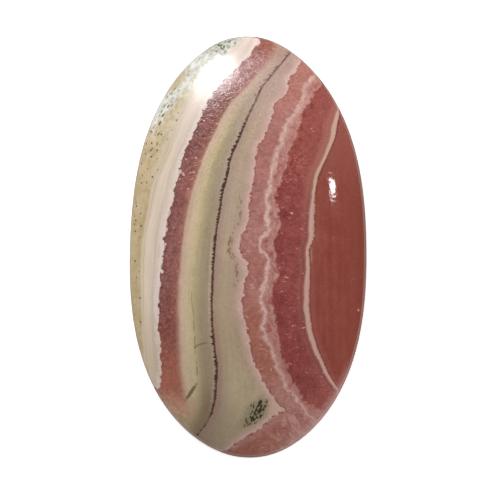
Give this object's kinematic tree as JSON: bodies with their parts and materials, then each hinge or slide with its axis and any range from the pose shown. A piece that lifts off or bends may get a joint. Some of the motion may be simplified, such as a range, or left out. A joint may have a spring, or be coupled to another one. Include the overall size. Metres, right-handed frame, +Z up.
{
  "type": "rhodochrosite cabochon",
  "caption": "Oval banded rhodochrosite stone with a polished low dome, a narrow leaning girdle and a flat ground back that rests on a surface or in a bezel.",
  "frame": {"origin": "middle of the flat back, where the stone rests", "axes": "+Z up through the dome, +Y along the long axis towards the end with the pale speckled corner, +X towards the brick-red side"},
  "size_m": [0.0248, 0.044, 0.0056],
  "materials": {
    "rhodochrosite": "polished dome, ground back; red, rose, cream and olive bands"
  },
  "bodies": {
    "root": {"stone": "rhodochrosite"}
  },
  "joints": []
}
